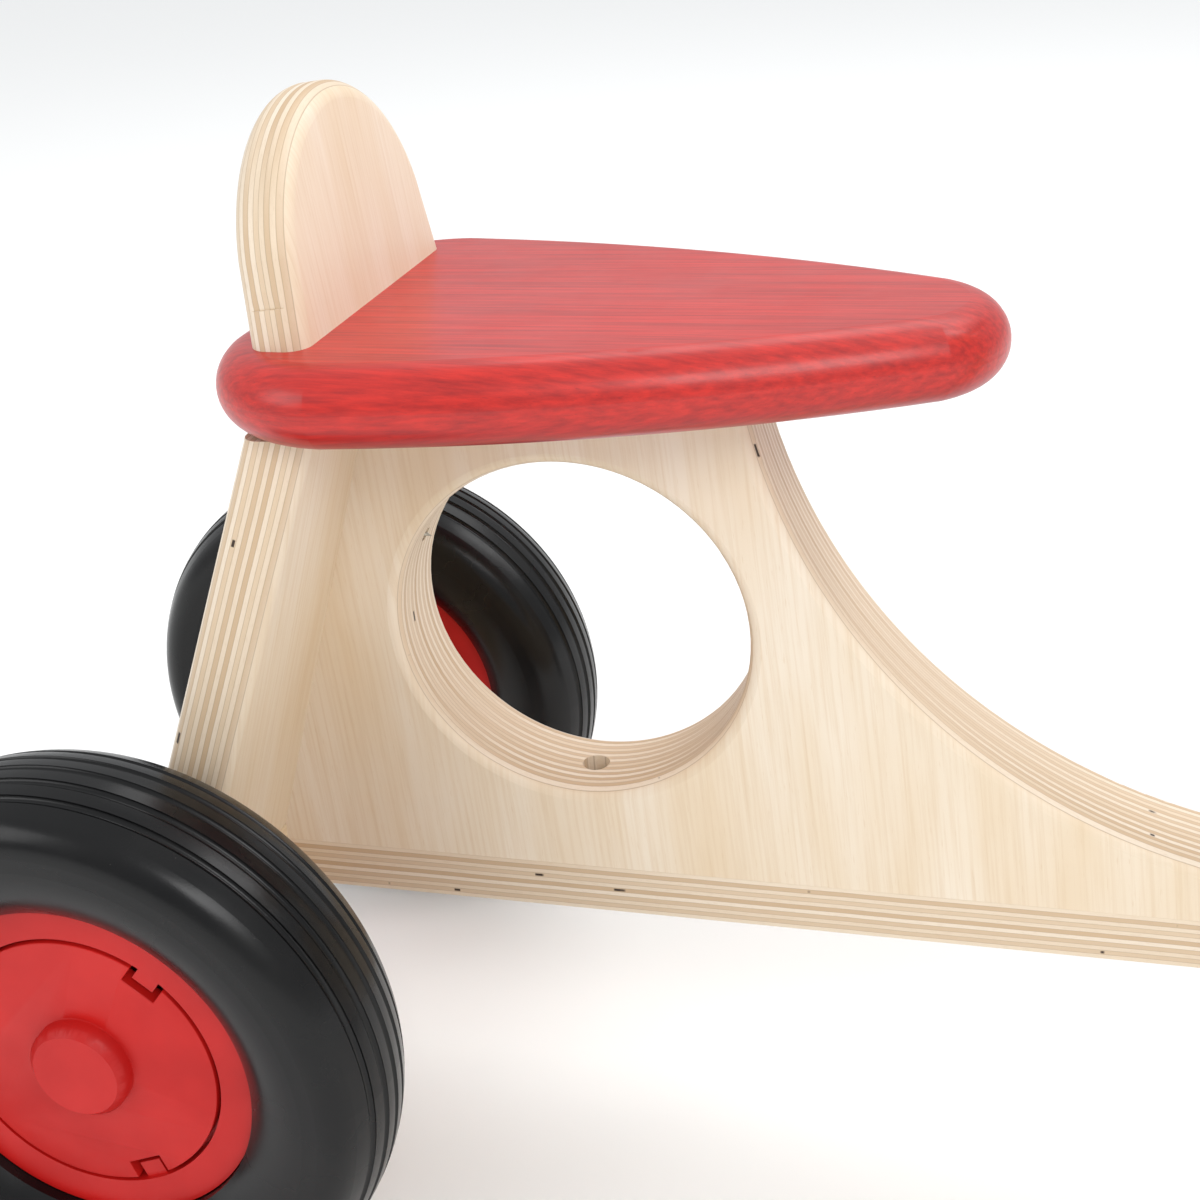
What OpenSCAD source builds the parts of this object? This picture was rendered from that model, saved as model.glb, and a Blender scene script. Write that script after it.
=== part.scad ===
// Walking tricycle for a toddler. A birch plywood board carries a red seat and a backrest,
// rides on three rubber-tyred wheels, and is steered with a handlebar over a wooden fork.
// Units are millimetres, +X is forward, +Y is the left side and +Z is up.
// The origin is on the ground, under the middle of the overall length.

/* [Overall] */
// Distance between the rear axle and the front axle
wheelbase = 455; // [400:1:560]
// Diameter of each wheel over its tyre
wheel_d = 165; // [140:1:200]
// Distance between the middles of the two rear wheels
track = 196; // [180:1:250]
// Width of each tyre
tyre_w = 41; // [34:1:50]
// Height of the seat's underside over the axles
seat_rise = 155; // [140:1:190]

/* [Main board] */
// Thickness of the upright board
board_t = 30; // [24:1:36]
// Diameter of the big round hole
hole_d = 101; // [80:1:112]
// Distance of the round hole ahead of the rear axle
hole_ahead = 112; // [105:1:125]
// Height of the round hole's middle over the axles
hole_rise = 83; // [78:1:92]
// Distance of the board's top front corner ahead of the rear axle
brow_ahead = 164; // [155:1:190]
// Radius of the rounded edges along the hole and the sweep
edge_r = 4; // [2:0.5:6]
// Radius of the small curve at the foot of the front post
heel_r = 40; // [30:1:50]
// Depth of the front post
post_d = 34; // [28:1:45]

/* [Sole strip] */
// Thickness of the strip glued under the board
sole_t = 15; // [12:1:20]
// Distance of the strip's underside below the axles
sole_drop = 8; // [6:0.5:12]
// Least height of the board over the strip
beam_min = 11; // [8:0.5:20]

/* [Rear panel] */
// Thickness of the raked rear panel
panel_t = 18; // [15:1:24]
// Lean of the rear panel, top forward
panel_lean = 17.7; // [10:0.1:22]
// Distance from the rear axle to the panel's front face
panel_off = 11.4; // [9:0.1:16]
// Half width of the panel under the seat
panel_top_w = 56; // [45:1:60]
// Height over the axle where the panel's sides turn inwards
panel_knee = 62; // [50:1:80]
// Rounding of the panel's side edges
panel_round = 5; // [2:0.5:8]
// Height of the axle block's top over the axle
block_up = 12.5; // [10:0.5:16]
// Height of the axle block
block_h = 29; // [26:1:36]
// Gap between the axle block and the rear tyres
side_gap = 4.5; // [3:0.5:10]

/* [Seat and backrest] */
// Thickness of the seat, which is also the size of its round edge
seat_t = 22; // [18:1:28]
// Distance of the seat's nose ahead of the rear axle
seat_nose = 231; // [215:1:260]
// Distance of the seat's rear edge ahead of the rear axle
seat_rear = 30; // [20:1:36]
// Half width of the seat's long sides at their widest point
seat_half_w = 71; // [64:1:85]
// Radius of the seat's nose in plan
nose_r = 30; // [24:1:40]
// Radius of the seat's rear corners in plan
corner_r = 38; // [30:1:48]
// Radius of the seat's long side in plan
flank_r = 420; // [300:10:700]
// Thickness of the backrest
back_t = 16; // [15:1:22]
// Half width of the backrest at its foot
back_half_w = 51; // [44:0.5:58]
// Height of the backrest over the seat
back_h = 59.5; // [50:0.5:75]
// Lean of the backrest's straight sides, up to its round crown
back_taper = 10; // [4:1:14]
// Lean of the backrest, top rearward
back_lean = 6.5; // [0:0.5:10]
// Distance of the backrest's foot ahead of the rear axle
back_ahead = 61; // [56:1:70]
// Rounding of the backrest's edges
back_round = 6; // [3:0.5:8]

/* [Steering] */
// Angle of the steering axis over the ground
head_angle = 72; // [68:1:80]
// Greatest steering angle to either side
steer_max = 40; // [25:1:45]
// Gap between the front tyre and the fork crown
crown_gap = 10; // [6:1:16]
// Thickness of the fork crown
crown_t = 24; // [20:1:30]
// Height of the head block along the steering axis
head_h = 52; // [44:1:64]
// Distance from the steering axis to the front post
head_off = 50; // [48:1:60]
// Thickness of each fork blade
blade_t = 15; // [12:1:18]
// Gap between the front tyre and each fork blade
blade_gap = 6; // [4:0.5:10]
// Diameter of the steering column
column_d = 18; // [16:1:22]
// Distance from the front axle up to the handlebar
bar_rise = 304; // [270:1:340]
// Diameter of the handlebar
bar_d = 25; // [20:1:28]
// Length of the handlebar
bar_l = 268; // [230:2:320]
// Length of each grip
grip_l = 96; // [80:1:110]

/* [Wheels] */
// Outer diameter of the red rim
rim_d = 96; // [80:1:104]
// Diameter of the axles
axle_d = 10; // [8:1:12]

/* [Clearances] */
// Radial gap of each turning fit
run_gap = 0.05; // [0.02:0.01:0.1]
// Radial gap of each fixed fit
fit_gap = 0.05; // [0.02:0.01:0.2]
// End gap between a wheel's hub and its stops
end_gap = 0.4; // [0.3:0.1:1]

/* [Hidden] */
$fn = 96;

eps = 0.01;
// a rounding reaches this far past the faces it joins, so that it meets them at a clear angle
over = 0.03;
// a long curve is set back this far from the short one it runs into, so that the two cross
step = 0.25;
rear_x = -wheelbase / 2;
front_x = wheelbase / 2;
axle_z = wheel_d / 2;
wheel_r = wheel_d / 2;
axle_r = axle_d / 2;
seat_z0 = axle_z + seat_rise;
seat_z1 = seat_z0 + seat_t;
sole_z0 = axle_z - sole_drop;
sole_z1 = sole_z0 + sole_t;
hole_x = rear_x + hole_ahead;
hole_z = axle_z + hole_rise;
half_b = board_t / 2;
tilt = 90 - head_angle;
// half width of the axle block and of the panel's foot
foot_w = track / 2 - tyre_w / 2 - side_gap;

// The step-through sweep is one large arc from the brow under the seat to the low beam.
sweep_r = 0.358 * wheelbase;
sweep_z = sole_z1 + beam_min + sweep_r;
sweep_x = rear_x + brow_ahead + sqrt(pow(sweep_r, 2) - pow(sweep_z - seat_z0, 2));
// The heel arc touches the sweep and the rear face of the front post.
post_near = head_off + post_d;
ux = -cos(head_angle);
uz = sin(head_angle);
line_x = front_x - (post_near + heel_r) * uz;
line_z = axle_z + (post_near + heel_r) * ux;
dx = line_x - sweep_x;
dz = line_z - sweep_z;
qb = dx * ux + dz * uz;
qc = dx * dx + dz * dz - pow(sweep_r - heel_r, 2);
heel_s = -qb - sqrt(max(0, qb * qb - qc));
heel_x = line_x + heel_s * ux;
heel_z = line_z + heel_s * uz;
heel_dir = atan2(heel_z - sweep_z, heel_x - sweep_x);
brow_dir = 180 + asin((sweep_z - seat_z0) / sweep_r);

// Heights along the steering axis, counted from the front axle.
crown_z0 = wheel_r + crown_gap;
crown_z1 = crown_z0 + crown_t;
head_z0 = crown_z1 + 4;
head_z1 = head_z0 + head_h;
arch_r = wheel_r + 10.5;
column_r = column_d / 2;
bush_r = column_r + 3;
bar_r = bar_d / 2;
stem_z0 = bar_rise - 42;
stem_z1 = bar_rise + 20;
blade_y = tyre_w / 2 + blade_gap;
crown_x = 24;
pin_at = 17.5;

// Wheel sizes, measured from the wheel's middle plane.
rim_r = rim_d / 2;
bead_r = rim_r - 4;
hub_in = tyre_w / 2 - 1.5;
hub_out = 3;
hub_r = axle_r + 3;
// directions of the three clips that hold the hub cap
clip_a = [68, 188, 308];

// moves a sub-part from the steering frame, whose Z runs up the steering axis
module steer_frame() {
  translate([front_x, 0, axle_z]) rotate([0, -tilt, 0]) children();
}

// extrudes an outline drawn in X and Z through the thickness w, centred on Y
module side_extrude(w) {
  rotate([90, 0, 0]) linear_extrude(height = w, center = true) children();
}

// What the rounding of radius e removes at one face of a board of half thickness h,
// where the board lies outside the radius r (k = 1) or inside it (k = -1).
module corner_cut(r, e, h, k) {
  difference() {
    translate([k > 0 ? r - 1 : r - e, h - e]) square([e + 1, e + 1]);
    translate([r + k * e, h - e]) circle(r = e + over, $fn = 64);
  }
}

// the same, swept round the Y axis from the direction a0 to a1, at both faces
module corner_rings(r, e, h, k, a0, a1) {
  for (m = [-1, 1]) scale([1, m, 1]) rotate([90, 0, 0]) rotate([0, 0, a0])
    rotate_extrude(angle = a1 - a0, $fn = 180) corner_cut(r, e, h, k);
}

// countersunk screw along +Z with its head's face at 0
module screw(shaft, len, head, grow) {
  translate([0, 0, -len]) cylinder(r = shaft + grow, h = len - head + shaft + eps);
  translate([0, 0, -(head - shaft)]) cylinder(r1 = shaft + grow, r2 = head + grow, h = head - shaft);
}

// ---- frame ----

module board_outline() {
  bx = block_front();
  polygon([
    [rear_x + bx, sole_z1],
    [rear_x + bx, axle_z + block_up],
    [rear_x + bx + (seat_rise - block_up) * tan(panel_lean), seat_z0],
    [rear_x + brow_ahead + 4, seat_z0],
    [heel_x - 10, heel_z - 4],
    [heel_x + 4 * uz, heel_z - 4 * ux],
    [heel_x + heel_r * uz, heel_z - heel_r * ux],
    [front_x + (head_z1 + 3) * ux - post_near * uz, axle_z + (head_z1 + 3) * uz + post_near * ux],
    [front_x + (head_z1 + 3) * ux - head_off * uz, axle_z + (head_z1 + 3) * uz + head_off * ux],
    [front_x + 60 * ux - head_off * uz, axle_z + 60 * uz + head_off * ux],
    [front_x - arch_r + 2, sole_z1]
  ]);
}

// rounded edges of the hole, of the sweep and its heel, and of the front post's rear face
module board_rounding(e) {
  translate([hole_x, 0, hole_z]) corner_rings(hole_d / 2, e, half_b, 1, 0, 360);
  translate([sweep_x, 0, sweep_z])
    corner_rings(sweep_r, e, half_b, 1, brow_dir - 5, heel_dir + 360);
  translate([heel_x, 0, heel_z]) {
    corner_rings(heel_r + 0.1, e, half_b, 1, heel_dir - 12, tilt + 8);
    rotate([0, -tilt, 0]) for (m = [-1, 1]) scale([1, m, 1]) translate([0, 0, -8])
      linear_extrude(height = 200) corner_cut(heel_r, e, half_b, 1);
  }
}

module main_board() {
  color([0.9, 0.81, 0.66]) difference() {
    side_extrude(board_t) difference() {
      board_outline();
      translate([hole_x, hole_z]) circle(r = hole_d / 2, $fn = 180);
      translate([sweep_x, sweep_z]) arc_fan(sweep_r, brow_dir - 5, heel_dir + 360);
      translate([heel_x, heel_z]) arc_fan(heel_r + 0.1, heel_dir - 20, tilt + 8);
    }
    board_rounding(edge_r);
    // wheel arch
    translate([front_x, 0, axle_z]) rotate([90, 0, 0]) cylinder(r = arch_r, h = 60, center = true);
    // drilled access hole in the floor of the round hole, and the pilot under it
    translate([hole_x, 0, sole_z1 + 6]) cylinder(r = 4, h = hole_z - sole_z1 - 6);
    translate([hole_x, 0, sole_z1 - 1]) cylinder(r = 2.6, h = 8);
    for (x = sole_screw_x()) translate([x, 0, sole_z1 - 1]) cylinder(r = 2.1, h = 9.2);
    for (x = dowel_x()) translate([x, 0, seat_z0 - 14.5]) cylinder(r = 5 + fit_gap, h = 15);
    panel_frame() for (z = panel_screw_z()) translate([-panel_t, 0, z]) rotate([0, -90, 0])
      screw(2.2, panel_t + 24, 4.4, fit_gap);
    steer_frame() head_dowel_set(fit_gap, 0.5);
  }
}

function sole_screw_x() = [rear_x + 70, sweep_x - 60, sweep_x];
function dowel_x() = [rear_x + 75, rear_x + 148];

module sole_strip() {
  color([0.86, 0.76, 0.6]) difference() {
    translate([rear_x + block_front(), -half_b, sole_z0])
      cube([wheelbase - block_front() - arch_r - 3, board_t, sole_t]);
    for (x = sole_screw_x()) translate([x, 0, sole_z0]) rotate([180, 0, 0])
      screw(2, 22, 4.2, 0.1);
    translate([hole_x, 0, sole_z0 - 1]) cylinder(r = 2.6, h = sole_t + 2);
  }
}

function block_front() = panel_off * cos(panel_lean) + block_up * tan(panel_lean)
  + panel_off * sin(panel_lean) * tan(panel_lean);

// moves a sub-part from the panel's frame, whose YZ plane is the panel's front face
module panel_frame() {
  translate([rear_x, 0, axle_z]) rotate([0, panel_lean, 0]) translate([panel_off, 0, 0]) children();
}

function panel_screw_z() = [30, 75, 120];

module rear_panel() {
  top_z = seat_rise / cos(panel_lean);
  s = atan2(foot_w - panel_top_w, top_z - panel_knee);
  color([0.88, 0.78, 0.62]) difference() {
    intersection() {
      panel_frame() difference() {
        translate([-panel_t, 0, 0]) rotate([90, 0, 90]) linear_extrude(height = panel_t) polygon([
          [-foot_w, -20], [foot_w, -20], [foot_w, panel_knee],
          [panel_top_w, top_z], [panel_top_w - 5, top_z + 30],
          [-panel_top_w + 5, top_z + 30], [-panel_top_w, top_z], [-foot_w, panel_knee]
        ]);
        // rounded side edges, first upright and then leaning inwards
        for (m = [-1, 1]) scale([1, m, 1]) {
          translate([-panel_t / 2, foot_w, -21]) edge_strip(panel_knee + 21);
          translate([-panel_t / 2, foot_w, panel_knee]) rotate([s, 0, 0]) edge_strip(150);
        }
      }
      translate([rear_x - 100, -150, axle_z + block_up]) cube([300, 300, seat_rise - block_up]);
    }
    panel_frame() for (z = panel_screw_z()) translate([-panel_t, 0, z]) rotate([0, -90, 0])
      screw(2.2, panel_t + 24, 4.4, 0.1);
  }
}

// the two corners that the rounding removes along one side edge of the panel
module edge_strip(len) {
  e = panel_round;
  h = panel_t / 2;
  linear_extrude(height = len) for (m = [-1, 1]) scale([m, 1]) difference() {
    translate([h - e, -e]) square([e + 2, e + 2]);
    translate([h - e, -e]) circle(r = e + over, $fn = 64);
  }
}

module axle_block() {
  z0 = axle_z + block_up - block_h;
  color([0.84, 0.7, 0.5]) difference() {
    translate([rear_x + block_front() - 30, -foot_w, z0]) cube([30, 2 * foot_w, block_h]);
    translate([rear_x, 0, axle_z]) rotate([90, 0, 0])
      cylinder(r = axle_r + fit_gap, h = 2 * foot_w + 2, center = true);
  }
}

// Plan of the seat: nose arc, long flanks and rear corner arcs, each touching the next.
fl_y = seat_half_w - flank_r;
nose_cx = rear_x + seat_nose - nose_r;
fl_x = nose_cx - sqrt(pow(flank_r - nose_r, 2) - fl_y * fl_y);
cor_x = rear_x + seat_rear + corner_r;
cor_y = fl_y + sqrt(pow(flank_r - corner_r, 2) - pow(cor_x - fl_x, 2));
nose_a = atan2(-fl_y, nose_cx - fl_x);
cor_a = atan2(cor_y - fl_y, cor_x - fl_x);

// what rounds the seat's rim along one arc, above and below
module rim_rings(cx, cy, r, a0, a1) {
  h = seat_t / 2;
  for (m = [-1, 1]) translate([cx, cy, seat_z0 + h]) scale([1, 1, m]) rotate([0, 0, a0])
    rotate_extrude(angle = a1 - a0, $fn = r > 100 ? 180 : 80) corner_cut(r, h, h, -1);
}

module seat() {
  h = seat_t / 2;
  color([0.78, 0.1, 0.09]) difference() {
    translate([0, 0, seat_z0]) linear_extrude(height = seat_t) seat_outline();
    rim_rings(nose_cx, 0, nose_r, -nose_a - 2.5, nose_a + 2.5);
    for (m = [-1, 1]) scale([1, m, 1]) {
      rim_rings(fl_x, fl_y, flank_r - step, nose_a - 1.1, cor_a + 1.1);
      rim_rings(cor_x, cor_y, corner_r, cor_a - 2, 182);
    }
    // straight rear edge
    for (m = [-1, 1]) translate([cor_x, 0, seat_z0 + h]) scale([-1, 1, m]) rotate([90, 0, 0])
      linear_extrude(height = 2 * cor_y + 16, center = true) corner_cut(corner_r - step, h, h, -1);
    for (x = dowel_x()) translate([x, 0, seat_z0 - 1]) cylinder(r = 5 + fit_gap, h = 13);
    for (y = [-30, 30]) translate([back_screw_x(), y, seat_z0]) rotate([180, 0, 0])
      screw(2.2, seat_t + 24, 4.4, 0.1);
  }
}

// Plan of the seat. The flanks and the rear edge cross the nose and corner arcs.
module seat_outline() {
  translate([nose_cx, 0]) circle(r = nose_r, $fn = 180);
  translate([rear_x + seat_rear + step, -cor_y - 2]) square([corner_r, 2 * cor_y + 4]);
  for (m = [-1, 1]) scale([1, m]) {
    translate([cor_x, cor_y]) circle(r = corner_r, $fn = 180);
    intersection() {
      translate([fl_x, fl_y]) circle(r = flank_r - step, $fn = 720);
      polygon([
        [cor_x - 2, -1], [nose_cx + 2, -1],
        [nose_cx + nose_r * cos(nose_a - 2) * 1.4, nose_r * sin(nose_a - 2) * 1.4],
        [cor_x + corner_r * cos(cor_a + 2) * 1.4, cor_y + corner_r * sin(cor_a + 2) * 1.4]
      ]);
    }
  }
}

// pie slice of a circle between two directions less than a half turn apart
module arc_fan(r, a0, a1) {
  k = r * 2.4;
  am = (a0 + a1) / 2;
  intersection() {
    circle(r = r, $fn = 360);
    polygon([[0, 0], [k * cos(a0), k * sin(a0)], [k * cos(am), k * sin(am)], [k * cos(a1), k * sin(a1)]]);
  }
}

function back_screw_x() = rear_x + back_ahead - back_t / 2;

// The crown arc touches the two straight sides, which lean inwards by the taper.
back_cr = (back_half_w * cos(back_taper) - back_h * sin(back_taper)) / (1 - sin(back_taper));

// Arched outline of the backrest, from the crown's centre: the straight sides cross the crown arc.
module back_outline() {
  a = back_taper;
  w = (back_cr - 0.15) / cos(a);
  intersection() {
    union() {
      circle(r = back_cr, $fn = 360);
      translate([-100, -30]) square([200, 30]);
    }
    polygon([[-w - 40 * tan(a), -40], [w + 40 * tan(a), -40], [w - 80 * tan(a), 80], [80 * tan(a) - w, 80]]);
  }
}

module backrest() {
  a = back_taper;
  h = back_t / 2;
  color([0.89, 0.79, 0.64]) difference() {
    translate([rear_x + back_ahead, 0, seat_z1]) rotate([0, -back_lean, 0])
      translate([-h, 0, back_h - back_cr]) rotate([0, 0, 90]) difference() {
        side_extrude(back_t) back_outline();
        corner_rings(back_cr, back_round, h, -1, a - 2, 182 - a);
        for (m = [-1, 1]) scale([m, 1, 1]) rotate([0, -a, 0]) for (n = [-1, 1]) scale([1, n, 1])
          translate([0, 0, -45]) linear_extrude(height = 54) corner_cut(back_cr - 0.15, back_round, h, -1);
      }
    // the foot is cut level to sit on the seat
    translate([rear_x, -100, seat_z1 - 60]) cube([120, 200, 60]);
    for (y = [-30, 30]) translate([back_screw_x(), y, seat_z0]) rotate([180, 0, 0])
      screw(2.2, seat_t + 24, 4.4, fit_gap);
  }
}

module rear_axle() {
  l = track + 2 * 9;
  color([0.7, 0.71, 0.73]) translate([rear_x, 0, axle_z]) rotate([90, 0, 0])
    cylinder(r = axle_r, h = l, center = true);
}

// ring along Y from y0 to y1
module ring_y(x, y0, y1, ro, ri) {
  translate([x, y1, axle_z]) rotate([90, 0, 0]) difference() {
    cylinder(r = ro, h = y1 - y0);
    translate([0, 0, -1]) cylinder(r = ri, h = y1 - y0 + 2);
  }
}

module rear_spacers() {
  y1 = track / 2 - hub_in - end_gap;
  color([0.75, 0.75, 0.77]) {
    ring_y(rear_x, foot_w, y1, axle_r + 4, axle_r + fit_gap);
    ring_y(rear_x, -y1, -foot_w, axle_r + 4, axle_r + fit_gap);
  }
}

module rear_retainers() {
  y0 = track / 2 + hub_out + end_gap;
  color([0.72, 0.73, 0.75]) {
    ring_y(rear_x, y0, y0 + 1.2, axle_r + 4.5, axle_r + fit_gap);
    ring_y(rear_x, -y0 - 1.2, -y0, axle_r + 4.5, axle_r + fit_gap);
  }
}

module seat_dowels() {
  color([0.85, 0.72, 0.52])
    for (x = dowel_x()) translate([x, 0, seat_z0 - 14]) cylinder(r = 5, h = 25.5);
}

module backrest_screws() {
  color([0.76, 0.75, 0.7])
    for (y = [-30, 30]) translate([back_screw_x(), y, seat_z0]) rotate([180, 0, 0])
      screw(2.2, seat_t + 22, 4.4, 0);
}

module panel_screws() {
  color([0.76, 0.75, 0.7])
    panel_frame() for (z = panel_screw_z()) translate([-panel_t, 0, z]) rotate([0, -90, 0])
      screw(2.2, panel_t + 22, 4.4, 0);
}

module sole_screws() {
  color([0.76, 0.75, 0.7])
    for (x = sole_screw_x()) translate([x, 0, sole_z0]) rotate([180, 0, 0])
      screw(2, 22, 4.2, 0);
}

module tie_screw() {
  color([0.76, 0.75, 0.7]) translate([hole_x, 0, 0]) {
    translate([0, 0, sole_z0 + 2]) cylinder(r = 2.5, h = sole_t + 4 + eps);
    translate([0, 0, sole_z1 + 6]) cylinder(r = 3.8, h = 3);
  }
}

module head_block() {
  color([0.87, 0.77, 0.6]) steer_frame() difference() {
    union() {
      translate([0, 0, head_z0]) cylinder(r = 22, h = head_h);
      translate([-head_off, -22, head_z0]) cube([head_off, 44, head_h]);
    }
    translate([0, 0, head_z0 - 1]) cylinder(r = bush_r, h = 17);
    translate([0, 0, head_z0 + 15]) cylinder(r = column_r + 1, h = head_h - 29);
    translate([0, 0, head_z1 - 16]) cylinder(r = bush_r, h = 17);
    translate([-pin_at, 0, head_z0 - 1]) cylinder(r = 3 + fit_gap, h = 13.5);
    head_dowel_set(fit_gap, 0.5);
  }
}

// two dowels across the glue line between the head block and the front post
module head_dowel_set(g, l) {
  for (z = [head_z0 + 14, head_z1 - 14]) translate([-head_off, 0, z]) rotate([0, 90, 0])
    cylinder(r = 4 + g, h = 28 + 2 * l, center = true);
}

module head_dowels() {
  color([0.85, 0.72, 0.52]) steer_frame() head_dowel_set(0, 0);
}

module flanged_bush(z, up) {
  translate([0, 0, z]) scale([1, 1, up ? 1 : -1]) difference() {
    union() {
      translate([0, 0, -15]) cylinder(r = bush_r, h = 15 + eps);
      cylinder(r = bush_r + 1, h = 2.4);
    }
    translate([0, 0, -16]) cylinder(r = column_r + run_gap, h = 20);
  }
}

module head_bush_lower() {
  color([0.12, 0.12, 0.13]) steer_frame() flanged_bush(head_z0, false);
}

module head_bush_upper() {
  color([0.12, 0.12, 0.13]) steer_frame() flanged_bush(head_z1, true);
}

module stop_pin() {
  color([0.7, 0.71, 0.73]) steer_frame()
    translate([-pin_at, 0, crown_z1 - 5]) cylinder(r = 3, h = 4 + 5 + 12);
}

// ---- steering ----

module fork_crown() {
  color([0.88, 0.78, 0.62]) steer_frame() difference() {
    translate([-crown_x, -blade_y, crown_z0]) cube([2 * crown_x, 2 * blade_y, crown_t]);
    translate([0, 0, crown_z0 - 1]) cylinder(r = column_r + fit_gap, h = crown_t + 2);
    // curved groove in which the stop pin limits the steering
    translate([0, 0, crown_z1 - 7]) {
      rotate([0, 0, 180 - steer_max]) rotate_extrude(angle = 2 * steer_max, $fn = 180)
        translate([pin_at - 3.4, 0]) square([6.8, 8]);
      for (a = [-steer_max, steer_max]) rotate([0, 0, 180 + a]) translate([pin_at, 0, 0])
        cylinder(r = 3.4, h = 8);
    }
    crown_screw_set(2.05);
  }
}

module crown_screw_set(r) {
  for (m = [-1, 1]) scale([1, m, 1]) for (x = [-15, 15])
    translate([x, blade_y - 22, crown_z0 + 8]) rotate([-90, 0, 0]) cylinder(r = r, h = 23);
}

module blade_outline() {
  d = sqrt(crown_x * crown_x + crown_z1 * crown_z1);
  a = atan2(crown_z1, crown_x) - acos(20 / d);
  circle(r = 20);
  polygon([[crown_x, crown_z1], [-crown_x, crown_z1], [-20 * cos(a), 20 * sin(a)], [20 * cos(a), 20 * sin(a)]]);
}

module fork_blade(m) {
  color([0.9, 0.81, 0.66]) steer_frame() scale([1, m, 1]) difference() {
    translate([0, blade_y + blade_t, 0]) rotate([90, 0, 0]) linear_extrude(height = blade_t)
      blade_outline();
    rotate([-90, 0, 0]) cylinder(r = axle_r + fit_gap, h = 100);
    for (x = [-15, 15]) translate([x, blade_y + blade_t, crown_z0 + 8]) rotate([-90, 0, 0])
      screw(2, 30, 4.2, 0.1);
  }
}

module fork_blade_left() {
  fork_blade(1);
}

module fork_blade_right() {
  fork_blade(-1);
}

module crown_screws() {
  color([0.76, 0.75, 0.7]) steer_frame() for (m = [-1, 1]) scale([1, m, 1]) for (x = [-15, 15])
    translate([x, blade_y + blade_t, crown_z0 + 8]) rotate([-90, 0, 0]) screw(2, blade_t + 20, 4.2, 0);
}

module steering_column() {
  color([0.7, 0.71, 0.73]) steer_frame()
    translate([0, 0, crown_z0 + 1]) cylinder(r = column_r, h = bar_rise - bar_r - 3 - crown_z0 - 1);
}

module thrust_washer() {
  color([0.75, 0.75, 0.77]) steer_frame() translate([0, 0, crown_z1]) difference() {
    cylinder(r = bush_r + 1, h = 1.2);
    translate([0, 0, -1]) cylinder(r = column_r + fit_gap, h = 4);
  }
}

module column_collar() {
  color([0.72, 0.73, 0.75]) steer_frame() translate([0, 0, head_z1 + 2.8]) difference() {
    cylinder(r = column_r + 6, h = 12);
    translate([0, 0, -1]) cylinder(r = column_r + fit_gap, h = 14);
    translate([0, 0, 6]) rotate([0, 90, 0]) cylinder(r = 2.55, h = 30);
  }
}

module collar_screw() {
  color([0.2, 0.2, 0.21]) steer_frame() translate([column_r + 0.1, 0, head_z1 + 8.8])
    rotate([0, 90, 0]) difference() {
      cylinder(r = 2.5, h = 5.4);
      translate([0, 0, 3.4]) cylinder(r = 1.4, h = 3, $fn = 6);
    }
}

// upright block with four rounded corners
module rounded_block(x, y, z0, z1, r) {
  translate([0, 0, z0]) linear_extrude(height = z1 - z0) {
    square([2 * x, 2 * (y - r)], center = true);
    square([2 * (x - r), 2 * y], center = true);
    for (i = [-1, 1]) for (j = [-1, 1]) translate([i * (x - r), j * (y - r)]) circle(r = r);
  }
}

module stem_block() {
  color([0.87, 0.77, 0.6]) steer_frame() difference() {
    rounded_block(21, 24, stem_z0, stem_z1, 9);
    translate([0, 0, stem_z0 - 1]) cylinder(r = column_r + fit_gap, h = bar_rise - bar_r - 2 - stem_z0 + 1);
    translate([0, 0, bar_rise]) rotate([90, 0, 0]) cylinder(r = bar_r + fit_gap, h = 60, center = true);
    translate([0, 0, bar_rise]) cylinder(r = 2.6, h = 30);
    translate([0, 0, stem_z1 - 5]) cylinder(r = 5, h = 6);
  }
}

module stem_screw() {
  color([0.76, 0.75, 0.7]) steer_frame() difference() {
    union() {
      translate([0, 0, bar_rise - 5]) cylinder(r = 2.5, h = stem_z1 - bar_rise + eps);
      translate([0, 0, stem_z1 - 5]) cylinder(r = 4.8, h = 4);
    }
    translate([0, 0, stem_z1 - 3.5]) cylinder(r = 2.3, h = 6, $fn = 6);
  }
}

module handlebar() {
  color([0.87, 0.76, 0.58]) steer_frame() translate([0, 0, bar_rise]) difference() {
    rotate([90, 0, 0]) cylinder(r = bar_r, h = bar_l, center = true);
    translate([0, 0, -5.5]) cylinder(r = 2.6, h = 40);
  }
}

module grip(m) {
  y1 = bar_l / 2 + 4;
  color([0.05, 0.05, 0.055]) steer_frame() translate([0, 0, bar_rise]) scale([1, m, 1])
    rotate([-90, 0, 0]) rotate_extrude() difference() {
      union() {
        translate([0, y1 - grip_l]) square([bar_r + 3, grip_l]);
        translate([0, y1 - grip_l]) square([bar_r + 7, 3.5]);
      }
      translate([-1, y1 - grip_l - 1]) square([bar_r + fit_gap + 1, grip_l - 3 + fit_gap]);
    }
}

module grip_left() {
  grip(1);
}

module grip_right() {
  grip(-1);
}

module front_axle() {
  l = 2 * (blade_y + blade_t) + 10;
  color([0.7, 0.71, 0.73]) translate([front_x, 0, axle_z]) rotate([90, 0, 0])
    cylinder(r = axle_r, h = l, center = true);
}

module front_spacers() {
  color([0.75, 0.75, 0.77]) {
    ring_y(front_x, hub_out + end_gap, blade_y, axle_r + 3, axle_r + fit_gap);
    ring_y(front_x, -blade_y, -hub_in - end_gap, axle_r + 3, axle_r + fit_gap);
  }
}

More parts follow.
